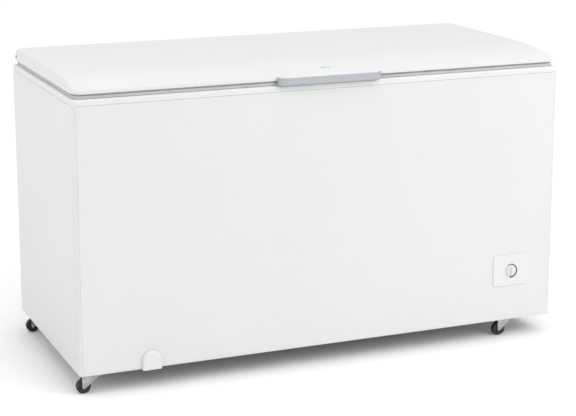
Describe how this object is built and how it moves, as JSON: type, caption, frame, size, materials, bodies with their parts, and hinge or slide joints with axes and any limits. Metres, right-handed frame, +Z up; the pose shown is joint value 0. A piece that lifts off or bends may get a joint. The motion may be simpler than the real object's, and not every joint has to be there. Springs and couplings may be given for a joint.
{
  "type": "chest freezer",
  "caption": "Wide chest freezer: insulated box with a sprung top lid, front dial and drain, hermetic compressor bay, on swivel casters.",
  "frame": {"origin": "on the floor, under the middle of the overall box", "axes": "+Z up, -Y the front with the handle and dial, +X along the cabinet towards the compressor end"},
  "size_m": [1.612, 0.76, 0.9445],
  "materials": {
    "white_enamel": "semi-gloss white baked enamel on steel sheet",
    "white_plastic": "white moulded plastic",
    "tray_plastic": "white vacuum-formed plastic sheet",
    "silver_paint": "satin silver-grey",
    "seal_grey": "soft matt grey seal",
    "grey_plastic": "mid-grey moulded plastic",
    "stucco_aluminium": "embossed aluminium sheet",
    "insulation_foam": "blown foam",
    "zinc_plate": "bright zinc-plated pressed steel",
    "wheel_rubber": "black rubber",
    "black_paint": "black enamel",
    "copper": "drawn copper tube",
    "spring_steel": "oiled spring wire"
  },
  "bodies": {
    "cabinet": {"front_panel": "white_enamel", "left_side_panel": "white_enamel", "right_side_panel": "white_enamel", "rear_panel": "white_enamel", "rim_rail_front": "white_plastic", "rim_rail_rear": "white_plastic", "rim_rail_left": "white_plastic", "rim_rail_right": "white_plastic", "control_bezel": "white_plastic", "drain_cover": "white_plastic", "drain_pipe": "white_plastic", "rear_grille": "grey_plastic", "side_vent_cap": "grey_plastic", "thermostat": "grey_plastic", "well_liner": "stucco_aluminium", "insulation_front": "insulation_foam", "insulation_rear": "insulation_foam", "insulation_left": "insulation_foam", "insulation_right": "insulation_foam", "insulation_floor": "insulation_foam", "base_panel": "zinc_plate", "compressor_tray": "zinc_plate", "hinge_base_left": "zinc_plate", "hinge_base_right": "zinc_plate", "hinge_pin_left": "zinc_plate", "hinge_pin_right": "zinc_plate", "caster_plate_front_left": "zinc_plate", "caster_plate_front_right": "zinc_plate", "caster_plate_rear_left": "zinc_plate", "caster_plate_rear_right": "zinc_plate", "cord_gland": "wheel_rubber", "compressor": "black_paint", "evaporator_pipe": "copper", "condenser_pipe": "copper", "filter_drier": "copper", "hinge_spring_left": "spring_steel", "hinge_spring_right": "spring_steel"},
    "lid": {"lid_skin": "white_enamel", "lid_tray": "tray_plastic", "lid_insulation": "insulation_foam", "lid_seal": "seal_grey", "lid_handle": "white_plastic", "handle_trim": "silver_paint", "hinge_arm_left": "zinc_plate", "hinge_arm_right": "zinc_plate"},
    "dial": {"dial_knob": "white_plastic", "dial_shaft": "zinc_plate"},
    "plug": {"drain_plug": "grey_plastic"},
    "fork_front_left": {"caster_fork_front_left": "zinc_plate", "caster_axle_front_left": "zinc_plate"},
    "wheel_front_left": {"caster_wheel_front_left": "wheel_rubber"},
    "fork_front_right": {"caster_fork_front_right": "zinc_plate", "caster_axle_front_right": "zinc_plate"},
    "wheel_front_right": {"caster_wheel_front_right": "wheel_rubber"},
    "fork_rear_left": {"caster_fork_rear_left": "zinc_plate", "caster_axle_rear_left": "zinc_plate"},
    "wheel_rear_left": {"caster_wheel_rear_left": "wheel_rubber"},
    "fork_rear_right": {"caster_fork_rear_right": "zinc_plate", "caster_axle_rear_right": "zinc_plate"},
    "wheel_rear_right": {"caster_wheel_rear_right": "wheel_rubber"}
  },
  "joints": [
    {"name": "lid_hinge", "type": "hinge", "parent": "cabinet", "child": "lid", "pos_m": [0, 0.372, 0.9], "axis": [-1, 0, 0], "range_deg": [0, 80]},
    {"name": "dial_turn", "type": "hinge", "parent": "cabinet", "child": "dial", "pos_m": [0.651, -0.36, 0.227], "axis": [0, 1, 0], "range_deg": [0, 285]},
    {"name": "drain_plug_pull", "type": "slide", "parent": "cabinet", "child": "plug", "axis": [0, 0, 1], "range_m": [0, 0.05]},
    {"name": "caster_swivel_front_left", "type": "hinge", "parent": "cabinet", "child": "fork_front_left", "pos_m": [-0.757, -0.326, 0.05], "axis": [0, 0, 1], "continuous": true},
    {"name": "caster_roll_front_left", "type": "hinge", "parent": "fork_front_left", "child": "wheel_front_left", "pos_m": [-0.784, -0.326, 0.022], "axis": [0, 1, 0], "continuous": true},
    {"name": "caster_swivel_front_right", "type": "hinge", "parent": "cabinet", "child": "fork_front_right", "pos_m": [0.658, -0.322, 0.05], "axis": [0, 0, 1], "continuous": true},
    {"name": "caster_roll_front_right", "type": "hinge", "parent": "fork_front_right", "child": "wheel_front_right", "pos_m": [0.631, -0.322, 0.022], "axis": [0, 1, 0], "continuous": true},
    {"name": "caster_swivel_rear_left", "type": "hinge", "parent": "cabinet", "child": "fork_rear_left", "pos_m": [-0.755, 0.3, 0.05], "axis": [0, 0, 1], "continuous": true},
    {"name": "caster_roll_rear_left", "type": "hinge", "parent": "fork_rear_left", "child": "wheel_rear_left", "pos_m": [-0.782, 0.3, 0.022], "axis": [0, 1, 0], "continuous": true},
    {"name": "caster_swivel_rear_right", "type": "hinge", "parent": "cabinet", "child": "fork_rear_right", "pos_m": [0.658, 0.3, 0.05], "axis": [0, 0, 1], "continuous": true},
    {"name": "caster_roll_rear_right", "type": "hinge", "parent": "fork_rear_right", "child": "wheel_rear_right", "pos_m": [0.631, 0.3, 0.022], "axis": [0, 1, 0], "continuous": true}
  ]
}
